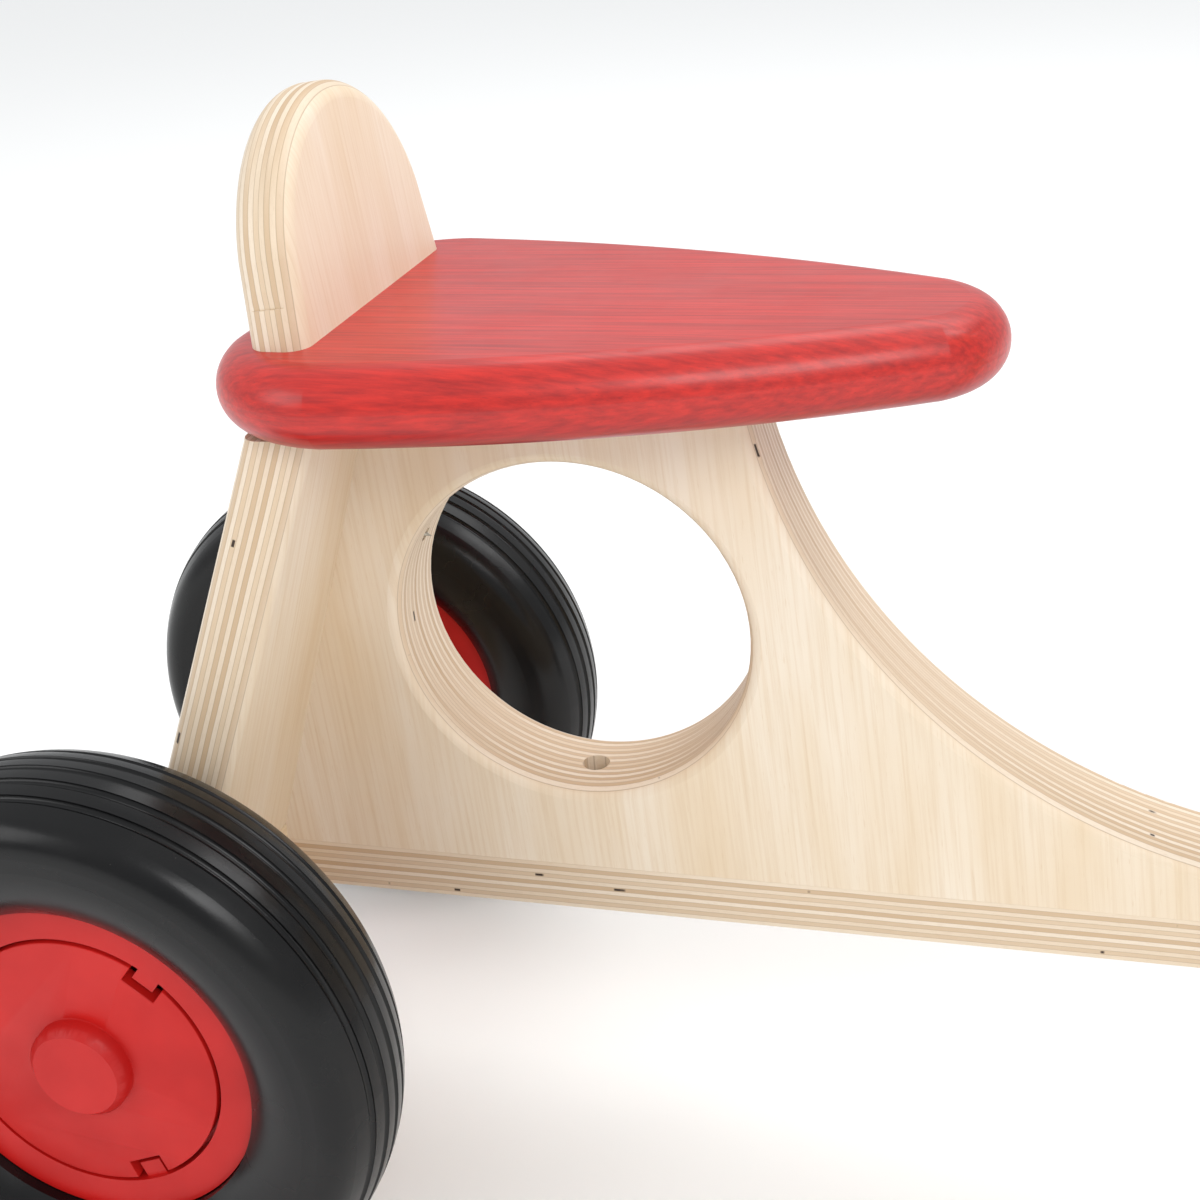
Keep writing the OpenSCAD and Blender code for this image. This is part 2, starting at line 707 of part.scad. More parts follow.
module front_nuts() {
  y0 = blade_y + blade_t;
  color([0.72, 0.73, 0.75]) translate([front_x, 0, axle_z]) for (m = [-1, 1]) scale([1, m, 1])
    translate([0, y0, 0]) rotate([-90, 0, 0]) difference() {
      union() {
        cylinder(r = 11, h = 1.5);
        translate([0, 0, 1.5 - eps]) cylinder(r = 9.2, h = 5, $fn = 6);
        intersection() {
          translate([0, 0, 2]) sphere(r = 8);
          translate([-10, -10, 1]) cube([20, 20, 12]);
        }
      }
      translate([0, 0, -1]) cylinder(r = axle_r + fit_gap, h = 1 + 5.2);
    }
}

// ---- wheels ----

// section of the tyre: flat-domed tread, round shoulders, bulging walls and a narrow bead
module tyre_section() {
  w = tyre_w / 2;
  sh = 10;
  cr = 30;
  cx = wheel_r - cr;
  sx = cx + sqrt(pow(cr - sh, 2) - pow(w - sh, 2));
  wr = 24;
  a = atan2(w - sh, sx - cx);
  difference() {
    union() {
      intersection() {
        translate([cx, 0]) circle(r = cr, $fn = 180);
        polygon([[cx, 0], [cx + 40 * cos(a), 40 * sin(a)], [cx + 60, 0], [cx + 40 * cos(a), -40 * sin(a)]]);
      }
      for (m = [-1, 1]) translate([sx, m * (w - sh)]) circle(r = sh);
      translate([sx - 4, -w]) square([4, 2 * w]);
      intersection() {
        translate([sx - 3.5, -(wr - w)]) circle(r = wr, $fn = 180);
        translate([sx - 3.5, wr - w]) circle(r = wr, $fn = 180);
        translate([rim_r + 0.3, -w]) square([sx - 3.5 - rim_r - 0.3, 2 * w]);
      }
      translate([bead_r, -7.4]) square([12, 14.8]);
    }
    // fine grooves round the tread
    for (y = [-11, -5.5, 0, 5.5, 11])
      translate([cx + sqrt(cr * cr - y * y) + 0.25, y]) circle(r = 1.2, $fn = 24);
  }
}

// places a wheel's sub-part, with its own +Z as the outer side along m times Y
module wheel_at(x, y, m) {
  translate([x, y, axle_z]) scale([1, m, 1]) rotate([-90, 0, 0]) children();
}

module tyre(x, y, m) {
  color([0.035, 0.035, 0.04]) wheel_at(x, y, m) rotate_extrude($fn = 180) tyre_section();
}

module rim(x, y, m) {
  r0 = hub_r;
  b = bead_r;
  color([0.72, 0.06, 0.06]) wheel_at(x, y, m) {
    rotate_extrude($fn = 180) polygon([
      [r0, -hub_in], [r0 + 5, -hub_in], [r0 + 5, -9], [b - 3.5, -9], [b - 3.5, -10], [rim_r, -10],
      [rim_r, -7.5], [b, -7.5], [b, 7.5], [rim_r, 7.5], [rim_r, 10], [rim_r - 9.5, 10],
      [rim_r - 9.5, 5.2], [rim_r - 12.5, 5.2], [rim_r - 12.5, 3.2], [b - 3.5, 3.2], [b - 3.5, -6],
      [r0 + 5, -6], [r0 + 5, hub_out], [r0, hub_out]
    ]);
    // clips that hold the cap by its notches
    for (a = clip_a) rotate([0, 0, a]) translate([rim_r - 14.4, -3.2, 3.6]) cube([6, 6.4, 5.4]);
  }
}

module bush(x, y, m) {
  color([0.85, 0.85, 0.83]) wheel_at(x, y, m) translate([0, 0, -hub_in]) difference() {
    cylinder(r = hub_r, h = hub_in + hub_out);
    translate([0, 0, -1]) cylinder(r = axle_r + run_gap, h = hub_in + hub_out + 2);
  }
}

// hub cap with a closed boss over the axle's end, or with an open middle
module cap(x, y, m, open) {
  c = rim_r - 10.6;
  color([0.76, 0.07, 0.065]) wheel_at(x, y, m) difference() {
    rotate_extrude($fn = 180) polygon(open
      ? [[axle_r + 4.5, 5.2], [c, 5.2], [c, 8], [axle_r + 4.5, 8]]
      : [[0, 12.6], [axle_r + 6.2, 12.6], [axle_r + 6.2, 5.2], [c, 5.2], [c, 8],
         [axle_r + 9, 8], [axle_r + 9, 13], [axle_r + 7, 15], [0, 15]]);
    // notches at the cap's edge for the clips
    for (a = clip_a) rotate([0, 0, a]) translate([c - 5.5, -5, 4]) cube([7, 10, 6]);
  }
}

module rear_left_tyre() {
  tyre(rear_x, track / 2, 1);
}

module rear_left_rim() {
  rim(rear_x, track / 2, 1);
}

module rear_left_bush() {
  bush(rear_x, track / 2, 1);
}

module rear_left_cap() {
  cap(rear_x, track / 2, 1, false);
}

module rear_right_tyre() {
  tyre(rear_x, -track / 2, -1);
}

module rear_right_rim() {
  rim(rear_x, -track / 2, -1);
}

module rear_right_bush() {
  bush(rear_x, -track / 2, -1);
}

module rear_right_cap() {
  cap(rear_x, -track / 2, -1, false);
}

module front_tyre() {
  tyre(front_x, 0, 1);
}

module front_rim() {
  rim(front_x, 0, 1);
}

module front_bush() {
  bush(front_x, 0, 1);
}

module front_cap() {
  cap(front_x, 0, 1, true);
}

main_board();
sole_strip();
rear_panel();
seat();
backrest();
axle_block();
rear_axle();
rear_spacers();
rear_retainers();
seat_dowels();
backrest_screws();
panel_screws();
sole_screws();
tie_screw();
head_block();
head_dowels();
head_bush_lower();
head_bush_upper();
stop_pin();
fork_crown();
fork_blade_left();
fork_blade_right();
crown_screws();
steering_column();
thrust_washer();
column_collar();
collar_screw();
stem_block();
stem_screw();
handlebar();
grip_left();
grip_right();
front_axle();
front_spacers();
front_nuts();
rear_left_tyre();
rear_left_rim();
rear_left_bush();
rear_left_cap();
rear_right_tyre();
rear_right_rim();
rear_right_bush();
rear_right_cap();
front_tyre();
front_rim();
front_bush();
front_cap();
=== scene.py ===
import math

import bmesh
import bpy
from mathutils import Matrix, Vector
from mathutils.geometry import tessellate_polygon


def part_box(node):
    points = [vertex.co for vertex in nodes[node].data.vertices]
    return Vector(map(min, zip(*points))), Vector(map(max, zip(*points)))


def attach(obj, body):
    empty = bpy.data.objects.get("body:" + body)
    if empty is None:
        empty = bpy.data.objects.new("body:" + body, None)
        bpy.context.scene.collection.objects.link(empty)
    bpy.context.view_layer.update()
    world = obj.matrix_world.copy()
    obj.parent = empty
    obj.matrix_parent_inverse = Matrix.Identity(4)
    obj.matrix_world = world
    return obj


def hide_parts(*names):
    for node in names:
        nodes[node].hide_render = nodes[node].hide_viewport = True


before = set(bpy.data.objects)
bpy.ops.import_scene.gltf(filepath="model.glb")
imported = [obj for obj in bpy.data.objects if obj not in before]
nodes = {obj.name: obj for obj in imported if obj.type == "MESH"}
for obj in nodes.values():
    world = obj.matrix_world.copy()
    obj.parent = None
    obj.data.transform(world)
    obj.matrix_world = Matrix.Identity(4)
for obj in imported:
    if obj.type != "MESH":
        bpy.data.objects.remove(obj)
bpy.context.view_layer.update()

scene = bpy.context.scene

# ---- Camera ----
# A near view from the rider's right, a little above the seat and level with the rear half.
camera_data = bpy.data.cameras.new("camera")
camera_data.lens = 51.0
camera_data.sensor_width = 36.0
camera_data.shift_x = -0.0272
camera_data.shift_y = -0.1788
camera_data.clip_start = 0.01
camera_data.clip_end = 20.0
camera = bpy.data.objects.new("camera", camera_data)
scene.collection.objects.link(camera)
yaw, pitch, roll = 0.26371, 0.33824, -0.07004
look = Vector((-math.sin(yaw) * math.cos(pitch), math.cos(yaw) * math.cos(pitch), -math.sin(pitch)))
level = Vector((math.cos(yaw), math.sin(yaw), 0.0))
above = level.cross(look)
side = math.cos(roll) * level + math.sin(roll) * above
upward = -math.sin(roll) * level + math.cos(roll) * above
camera.matrix_world = Matrix.Translation((0.01656, -0.41813, 0.3864)) @ Matrix(
    (side, upward, -look)).transposed().to_4x4()
scene.camera = camera


# ---- Studio ----
# A seamless pale floor in a room that is bright overhead, with a broad soft lamp high on the right,
# weaker ones on the left and behind, and a narrow strip in front that streaks the tyres' crowns.
def colour(code):
    """sRGB hex to linear red, green, blue and alpha."""
    parts = [int(code[i:i + 2], 16) / 255 for i in (1, 3, 5)]
    return [p / 12.92 if p <= 0.04045 else ((p + 0.055) / 1.055) ** 2.4 for p in parts] + [1.0]


def add(tree, kind, settings=None):
    """Adds a node. A node or socket among the settings is linked to that input, and a value is set on it."""
    made = tree.nodes.new(kind)
    for key, value in (settings or {}).items():
        if isinstance(value, bpy.types.Node):
            value = next(output for output in value.outputs if output.enabled)
        if isinstance(value, bpy.types.NodeSocket):
            tree.links.new(value, made.inputs[key])
        elif isinstance(key, int) or key in made.inputs:
            made.inputs[key].default_value = colour(value) if str(value).startswith("#") else value
        else:
            setattr(made, key, value)
    return made


def new_material(name):
    """An empty material with a Principled shader on its output. Returns it, its tree and the shader."""
    made = bpy.data.materials.new(name)
    made.use_nodes = True
    tree = made.node_tree
    tree.nodes.clear()
    shader = add(tree, "ShaderNodeBsdfPrincipled")
    add(tree, "ShaderNodeOutputMaterial", {"Surface": shader})
    return made, tree, shader


def dress(names, material):
    """Gives CAD nodes their material."""
    for name in names:
        nodes[name].data.materials.clear()
        nodes[name].data.materials.append(material)


floor_mesh = bpy.data.meshes.new("studio_floor")
floor_mesh.from_pydata([(-6, -6, 0), (6, -6, 0), (6, 6, 0), (-6, 6, 0)], [], [(0, 1, 2, 3)])
floor = bpy.data.objects.new("studio_floor", floor_mesh)
scene.collection.objects.link(floor)
# matt white paper from a roll, which scatters a little of the room's light by itself
floor_paper, tree, shader = new_material("matt_white_backdrop_paper")
shader.inputs["Base Color"].default_value = colour("#F4F4F3")
shader.inputs["Roughness"].default_value = 0.9
shader.inputs["Emission Color"].default_value = colour("#FFFFFF")
shader.inputs["Emission Strength"].default_value = 0.1
floor_mesh.materials.append(floor_paper)

# the room is bright overhead and dimmer towards the floor and where the camera stands
world = bpy.data.worlds.new("studio")
world.use_nodes = True
tree = world.node_tree
tree.nodes.clear()
place = add(tree, "ShaderNodeTexCoord")
height = add(tree, "ShaderNodeVectorMath", {"operation": "DOT_PRODUCT",
             0: place.outputs["Generated"], 1: (0, 0.3, 1)})
strength = add(tree, "ShaderNodeMapRange", {0: height, 1: -0.35, 2: 0.9, 3: 0.55, 4: 0.95})
sky = add(tree, "ShaderNodeBackground", {"Color": "#F6F8FA", "Strength": strength})
add(tree, "ShaderNodeOutputWorld", {"Surface": sky})
scene.world = world
scene.view_settings.view_transform = "Standard"


def soft_lamp(name, place, aim, size, power):
    """A rectangular lamp at a place, turned to an aim, with its sides in metres and its power in watts."""
    data = bpy.data.lights.new(name, "AREA")
    data.shape = "RECTANGLE"
    data.size, data.size_y = size
    data.energy = power
    lamp = bpy.data.objects.new(name, data)
    lamp.location = place
    lamp.rotation_euler = (Vector(aim) - Vector(place)).to_track_quat("-Z", "Y").to_euler()
    scene.collection.objects.link(lamp)


soft_lamp("key_right", (1.0, -1.5, 1.6), (-0.1, 0, 0.15), (1.1, 0.8), 16)
soft_lamp("fill_left", (-1.5, -1.3, 1.1), (0, 0, 0.15), (1.1, 1.0), 8)
soft_lamp("top_back", (0.2, 1.0, 1.8), (0, 0, 0.2), (1.6, 0.8), 9)
soft_lamp("front_strip", (1.05, 0.3, 1.45), (-0.15, 0, 0.15), (0.3, 1.0), 6)


# ---- Plywood parts ----
# Birch plywood about 1.4 mm a ply, sawn, routed round at the edges, sanded and clear lacquered.
# Every other ply shows its end grain at a cut, darker and thirstier than the long grain beside it,
# and small gaps in the inner plies show as short dark dashes.
def ply_shader(name, spot, turn, order, plies, thick, tint, seed, lean=0.0):
    """Plywood seen in millimetres along its own face grain (u), across it (v) and through it (w)."""
    made, tree, shader = new_material(name)
    math_node, range_node, noise_node = "ShaderNodeMath", "ShaderNodeMapRange", "ShaderNodeTexNoise"
    where = add(tree, "ShaderNodeTexCoord")
    local = add(tree, "ShaderNodeMapping", {"vector_type": "TEXTURE", "Vector": where.outputs["Object"],
                "Location": spot, "Rotation": (0, turn, 0), "Scale": (0.001, 0.001, 0.001)})
    facing = add(tree, "ShaderNodeMapping", {"vector_type": "TEXTURE", "Vector": where.outputs["Normal"],
                 "Rotation": (0, turn, 0)})
    place = add(tree, "ShaderNodeSeparateXYZ", {0: local})
    normal = add(tree, "ShaderNodeSeparateXYZ", {0: facing})
    u, v, w = (place.outputs[a] for a in order)
    nu, nv, nw = (normal.outputs[a] for a in order)
    # the veneer's grain leans a little on the plate
    across = add(tree, math_node, {"operation": "MULTIPLY_ADD", 0: u, 1: math.tan(lean), 2: v})
    # 0 on a face of the plate and 1 on a cut edge
    face_on = add(tree, math_node, {"operation": "MULTIPLY", 0: nw, 1: nw})
    edge = add(tree, math_node, {"operation": "SUBTRACT", 0: 1.0, 1: face_on})
    # the plies are a little wavy: about 0.25 mm over 30 mm
    slow = add(tree, "ShaderNodeCombineXYZ", {0: u, 1: v, 2: seed * 30.0})
    waves = add(tree, noise_node, {"Vector": slow, "Scale": 0.03, "Detail": 2.0})
    wave = add(tree, math_node, {"operation": "MULTIPLY_ADD", 0: waves, 1: 0.5, 2: -0.25})
    bent = add(tree, math_node, {"operation": "MULTIPLY_ADD", 0: wave, 1: edge, 2: w})
    stack = add(tree, math_node, {"operation": "MULTIPLY_ADD", 0: bent, 1: plies / thick, 2: plies / 2})
    level = add(tree, "ShaderNodeClamp", {0: stack, 1: 0.002, 2: plies - 0.002})
    index = add(tree, math_node, {"operation": "FLOOR", 0: level})
    part = add(tree, math_node, {"operation": "FRACT", 0: level})
    cross = add(tree, math_node, {"operation": "MODULO", 0: index, 1: 2.0})
    layer = add(tree, math_node, {"operation": "MULTIPLY_ADD", 0: index, 1: 7.31, 2: seed * 13.7})
    tone = add(tree, "ShaderNodeTexWhiteNoise", {"noise_dimensions": "1D", "W": layer})
    # grain runs along u in the even plies and across it in the odd ones
    along = add(tree, "ShaderNodeMix", {0: cross, 2: u, 3: across})
    beside = add(tree, "ShaderNodeMix", {0: cross, 2: across, 3: u})
    grain = add(tree, "ShaderNodeCombineXYZ", {0: along, 1: beside, 2: layer})
    # streaks are 50 mm long and about 1 mm wide, the broad figure 120 by 20 mm, the flecks 4 by 0.4 mm
    fine = add(tree, "ShaderNodeVectorMath", {"operation": "MULTIPLY", 0: grain, 1: (0.02, 0.9, 1)})
    streak = add(tree, noise_node, {"Vector": fine, "Scale": 1.0, "Detail": 5.0, "Roughness": 0.6})
    broad = add(tree, "ShaderNodeVectorMath", {"operation": "MULTIPLY", 0: grain, 1: (0.008, 0.05, 1)})
    figure = add(tree, noise_node, {"Vector": broad, "Scale": 1.0, "Detail": 3.0, "Roughness": 0.55})
    short = add(tree, "ShaderNodeVectorMath", {"operation": "MULTIPLY", 0: grain, 1: (0.22, 2.6, 1)})
    flecks = add(tree, noise_node, {"Vector": short, "Scale": 1.0, "Detail": 1.0})
    figured = add(tree, range_node, {0: figure, 1: 0.3, 2: 0.72})
    face = add(tree, "ShaderNodeMix", {"data_type": "RGBA", 0: figured, 6: tint["pale"], 7: tint["warm"]})
    streaked = add(tree, range_node, {0: streak, 1: 0.45, 2: 0.75, 4: 0.45})
    face = add(tree, "ShaderNodeMix", {"data_type": "RGBA", 0: streaked, 6: face, 7: tint["streak"]})
    flecked = add(tree, range_node, {0: flecks, 1: 0.66, 2: 0.8, 4: 0.35})
    face = add(tree, "ShaderNodeMix", {"data_type": "RGBA", 0: flecked, 6: face, 7: tint["streak"]})
    # rare pin knots, 1 to 2 mm across
    sparse = add(tree, "ShaderNodeCombineXYZ", {0: u, 1: v, 2: seed * 200.0})
    squeezed = add(tree, "ShaderNodeVectorMath", {"operation": "MULTIPLY", 0: sparse, 1: (0.014, 0.02, 0.02)})
    knots = add(tree, "ShaderNodeTexVoronoi", {"Vector": squeezed, "Scale": 1.0, "Randomness": 1.0})
    draw = add(tree, "ShaderNodeSeparateColor", {0: knots.outputs["Color"]})
    chosen = add(tree, math_node, {"operation": "GREATER_THAN", 0: draw.outputs[0], 1: 0.6})
    near = add(tree, range_node, {0: knots.outputs["Distance"], 1: 0.035, 2: 0.012, 4: 0.75})
    knot = add(tree, math_node, {"operation": "MULTIPLY", 0: near, 1: chosen})
    face = add(tree, "ShaderNodeMix", {"data_type": "RGBA", 0: knot, 6: face, 7: "#7A4E2C"})
    # a cut edge shows end grain in every other ply, by which way the cut faces
    cut_u = add(tree, math_node, {"operation": "MULTIPLY", 0: nu, 1: nu})
    cut_v = add(tree, math_node, {"operation": "MULTIPLY", 0: nv, 1: nv})
    end_cut = add(tree, "ShaderNodeMix", {0: cross, 2: cut_u, 3: cut_v})
    fibres = add(tree, "ShaderNodeCombineXYZ", {0: u, 1: v, 2: w})
    stretched = add(tree, "ShaderNodeVectorMath", {"operation": "MULTIPLY", 0: fibres, 1: (0.5, 0.5, 3)})
    fibre = add(tree, noise_node, {"Vector": stretched, "Scale": 1.0, "Detail": 3.0, "Roughness": 0.65})
    long_ply = add(tree, "ShaderNodeMix", {"data_type": "RGBA", 0: tone, 6: tint["long_a"], 7: tint["long_b"]})
    end_ply = add(tree, "ShaderNodeMix", {"data_type": "RGBA", 0: tone, 6: tint["end_a"], 7: tint["end_b"]})
    ended = add(tree, range_node, {0: end_cut, 1: 0.15, 2: 0.85})
    sawn = add(tree, "ShaderNodeMix", {"data_type": "RGBA", 0: ended, 6: long_ply, 7: end_ply})
    frayed = add(tree, range_node, {0: fibre, 1: 0.5, 2: 0.8, 4: 0.35})
    sawn = add(tree, "ShaderNodeMix", {"data_type": "RGBA", 0: frayed, 6: sawn, 7: tint["end_b"]})
    # a thin darker glue line lies between the plies
    rest = add(tree, math_node, {"operation": "SUBTRACT", 0: 1.0, 1: part})
    from_glue = add(tree, math_node, {"operation": "MINIMUM", 0: part, 1: rest})
    glue = add(tree, range_node, {0: from_glue, 1: 0.1, 2: 0.02, 4: 0.5})
    sawn = add(tree, "ShaderNodeMix", {"data_type": "RGBA", 0: glue, 6: sawn, 7: tint["glue"]})
    # short dark gaps in the inner cross plies
    dashes = add(tree, "ShaderNodeVectorMath", {"operation": "MULTIPLY", 0: fibres, 1: (0.16, 0.16, 0)})
    lifted = add(tree, "ShaderNodeCombineXYZ", {2: layer})
    drawn = add(tree, "ShaderNodeVectorMath", {"operation": "MULTIPLY_ADD",
                0: lifted, 1: (0, 0, 1.7), 2: dashes})
    gaps = add(tree, noise_node, {"Vector": drawn, "Scale": 1.0, "Detail": 1.0, "Roughness": 0.4})
    open_gap = add(tree, range_node, {0: gaps, 1: 0.75, 2: 0.78})
    inside = add(tree, range_node, {0: from_glue, 1: 0.14, 2: 0.28})
    gap_core = add(tree, math_node, {"operation": "MULTIPLY", 0: open_gap, 1: inside})
    gap = add(tree, math_node, {"operation": "MULTIPLY", 0: gap_core, 1: cross})
    sawn = add(tree, "ShaderNodeMix", {"data_type": "RGBA", 0: gap, 6: sawn, 7: "#3A2A1E"})
    # the face veneer reaches a short way round the rounded edge before the plies show
    over_low = add(tree, math_node, {"operation": "GREATER_THAN", 0: level, 1: 0.92})
    under_high = add(tree, math_node, {"operation": "LESS_THAN", 0: level, 1: plies - 0.92})
    inner = add(tree, math_node, {"operation": "MULTIPLY", 0: over_low, 1: under_high})
    outer = add(tree, range_node, {0: edge, 1: 0.35, 2: 0.8, 4: 0.55})
    shown = add(tree, math_node, {"operation": "MAXIMUM", 0: inner, 1: outer})
    turned = add(tree, range_node, {0: edge, 1: 0.02, 2: 0.1})
    cut = add(tree, math_node, {"operation": "MULTIPLY", 0: shown, 1: turned})
    paint = add(tree, "ShaderNodeMix", {"data_type": "RGBA", 0: cut, 6: face, 7: sawn})
    tree.links.new(paint.outputs[2], shader.inputs["Base Color"])
    # satin lacquer that sinks into the end grain
    thirsty = add(tree, math_node, {"operation": "MULTIPLY", 0: edge, 1: end_cut})
    sheen = add(tree, range_node, {0: streak, 1: 0.3, 2: 0.8, 3: 0.38, 4: 0.5})
    rough = add(tree, math_node, {"operation": "MULTIPLY_ADD", 0: thirsty, 1: 0.12, 2: sheen})
    tree.links.new(rough.outputs[0], shader.inputs["Roughness"])
    groove = add(tree, math_node, {"operation": "MULTIPLY", 0: edge, 1: glue})
    raised = add(tree, math_node, {"operation": "MULTIPLY", 0: streak, 1: 0.03})
    sunk = add(tree, math_node, {"operation": "MULTIPLY_ADD", 0: groove, 1: -0.08, 2: raised})
    relief = add(tree, math_node, {"operation": "MULTIPLY_ADD", 0: gap, 1: -0.3, 2: sunk})
    bump = add(tree, "ShaderNodeBump", {"Strength": 0.55, "Distance": 0.001, "Height": relief})
    tree.links.new(bump.outputs[0], shader.inputs["Normal"])
    shader.inputs["IOR"].default_value = 1.5
    return made


birch = {"pale": "#EDDFCB", "warm": "#E3CDAE", "streak": "#D5B892", "long_a": "#EADBC7", "long_b": "#E0CCB2",
         "end_a": "#DAC3A6", "end_b": "#C9AC8A", "glue": "#A08262"}
# each plate's middle, and its lean, as the plies and the grain follow it
rear_spot = Vector((-0.2275, 0, 0.0825))
panel_lean = math.radians(17.7)
normal_out = Vector((math.cos(panel_lean), 0, -math.sin(panel_lean)))
panel_spot = rear_spot + normal_out * (0.0114 - 0.009)
back_lean = math.radians(6.5)
back_spot = Vector((-0.1665, 0, 0.2595)) - Vector((math.cos(back_lean), 0, math.sin(back_lean))) * 0.008
fork_spot, fork_turn = (0.2275, 0, 0.0825), math.radians(-18)


def stand_for(node, piece, body):
    """Makes a new piece ride on its body and stand for a CAD node."""
    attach(piece, body)
    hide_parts(node)


def eased(node, body, material, width=0.0007, steps=3, ending="_eased", reshape=None):
    """A copy of a CAD node with its sharp edges rounded over this width in metres. It stands for the node."""
    form = bmesh.new()
    form.from_mesh(nodes[node].data)
    bmesh.ops.remove_doubles(form, verts=form.verts, dist=1e-6)
    if reshape:
        reshape(form)
    bmesh.ops.dissolve_limit(form, angle_limit=math.radians(1), verts=form.verts, edges=form.edges)
    sharp = [line for line in form.edges
             if len(line.link_faces) == 2 and line.calc_face_angle(0) > math.radians(50)]
    bmesh.ops.bevel(form, geom=sharp, offset=width, segments=steps, profile=0.5, affect="EDGES",
                    clamp_overlap=True)
    mesh = bpy.data.meshes.new(node + ending)
    form.to_mesh(mesh)
    form.free()
    mesh.shade_smooth()
    mesh.set_sharp_from_angle(angle=math.radians(28))
    mesh.materials.append(material)
    piece = bpy.data.objects.new(node + ending, mesh)
    scene.collection.objects.link(piece)
    stand_for(node, piece, body)


# one veneer sheet and one set of ply tones for all, each plate with its own seed and direction
dress(["main_board"], ply_shader("birch_plywood_board_lacquered", (0, 0, 0), 0, (2, 0, 1), 21, 30,
                                 birch, 1.0, math.radians(4)))
dress(["rear_panel"], ply_shader("birch_plywood_panel_lacquered", panel_spot, panel_lean, (2, 1, 0), 13, 18,
                                 birch, 3.0))
dress(["backrest"], ply_shader("birch_plywood_backrest_lacquered", back_spot, -back_lean, (2, 1, 0), 11, 16,
                               birch, 4.0))
strip_ply = ply_shader("birch_plywood_strip_lacquered", (0, 0, 0.082), 0, (0, 1, 2), 11, 15, birch, 2.0)
crown_ply = ply_shader("birch_plywood_crown_lacquered", (0.1935, 0, 0.1871), fork_turn, (0, 1, 2), 17, 24,
                       birch, 5.0)
eased("sole_strip", "frame", strip_ply, 0.0005)
eased("fork_crown", "steering", crown_ply)
for hand, offset in (("left", 0.034), ("right", -0.034)):
    blade_spot = (fork_spot[0], offset, fork_spot[2])
    blade_ply = ply_shader("birch_plywood_" + hand + "_blade_lacquered", blade_spot, fork_turn,
                           (2, 0, 1), 11, 15, birch, 6.0 + 10 * offset)
    eased("fork_blade_" + hand, "steering", blade_ply, 0.001)


# ---- Solid birch parts ----
# Blocks sawn from solid birch, and a bar and dowels turned from beech, which is a little darker
# and warmer. All have fine straight grain, and all but the dowels a satin lacquer.
def solid_wood(name, spot, turn, order, pale, dark, seed):
    """Solid wood in millimetres: order names the axes along the grain and across it, twice."""
    made, tree, shader = new_material(name)
    where = add(tree, "ShaderNodeTexCoord")
    local = add(tree, "ShaderNodeMapping", {"vector_type": "TEXTURE", "Vector": where.outputs["Object"],
                "Location": spot, "Rotation": (0, turn, 0), "Scale": (0.001, 0.001, 0.001)})
    place = add(tree, "ShaderNodeSeparateXYZ", {0: local})
    # streaks are about 60 mm long and 1 mm wide
    run = add(tree, "ShaderNodeMath", {"operation": "MULTIPLY", 0: place.outputs[order[0]], 1: 0.015})
    grain = add(tree, "ShaderNodeCombineXYZ", {0: run, 1: place.outputs[order[1]], 2: seed})
    lift = add(tree, "ShaderNodeCombineXYZ", {2: place.outputs[order[2]]})
    depth = add(tree, "ShaderNodeVectorMath", {"operation": "ADD", 0: grain, 1: lift})
    fine = add(tree, "ShaderNodeTexNoise", {"Vector": depth, "Scale": 0.8, "Detail": 5.0, "Roughness": 0.6})
    broad = add(tree, "ShaderNodeTexNoise", {"Vector": depth, "Scale": 0.12, "Detail": 2.0})
    share = add(tree, "ShaderNodeMath", {"operation": "MULTIPLY", 0: broad, 1: 0.4})
    mixed = add(tree, "ShaderNodeMath", {"operation": "MULTIPLY_ADD", 0: fine, 1: 0.6, 2: share})
    tones = add(tree, "ShaderNodeMapRange", {0: mixed, 1: 0.35, 2: 0.68})
    paint = add(tree, "ShaderNodeMix", {"data_type": "RGBA", 0: tones, 6: pale, 7: dark})
    tree.links.new(paint.outputs[2], shader.inputs["Base Color"])
    shine = add(tree, "ShaderNodeMapRange", {0: fine, 1: 0.3, 2: 0.7, 3: 0.38, 4: 0.5})
    tree.links.new(shine.outputs[0], shader.inputs["Roughness"])
    bump = add(tree, "ShaderNodeBump", {"Strength": 0.4, "Distance": 0.00003, "Height": fine})
    tree.links.new(bump.outputs[0], shader.inputs["Normal"])
    return made


block_birch = solid_wood("solid_birch_block_lacquered", (0, 0, 0), 0, (1, 0, 2), "#E6D3B4", "#CDAC80", 1.0)
head_birch = solid_wood("solid_birch_head_lacquered", fork_spot, fork_turn, (2, 0, 1),
                        "#E6D3B4", "#CFB084", 2.0)
eased("axle_block", "frame", block_birch, 0.001)
eased("head_block", "frame", head_birch, 0.001)
eased("stem_block", "steering", head_birch, 0.0015)
dress(["handlebar"], solid_wood("turned_beech_bar_lacquered", fork_spot, fork_turn, (1, 0, 2),
                                "#DDB98C", "#BF9263", 3.0))
dress(["seat_dowels", "head_dowels"], solid_wood("beech_dowel_raw", (0, 0, 0), 0, (2, 0, 1),
                                                 "#D9B88C", "#B98F60", 4.0))


# ---- Seat ----
# Solid birch, shaped with a full round edge, stained red and lacquered satin. The stain sinks
# unevenly along the grain, and the lower half of the rim is darker and a cooler red in cloudy patches.
# birch with a red water stain under satin lacquer
red_seat, tree, shader = new_material("red_stained_birch_satin_lacquer")
where = add(tree, "ShaderNodeTexCoord")
local = add(tree, "ShaderNodeMapping", {"vector_type": "TEXTURE", "Vector": where.outputs["Object"],
            "Location": (-0.1, 0, 0.2485), "Rotation": (0, 0, 0), "Scale": (0.001, 0.001, 0.001)})
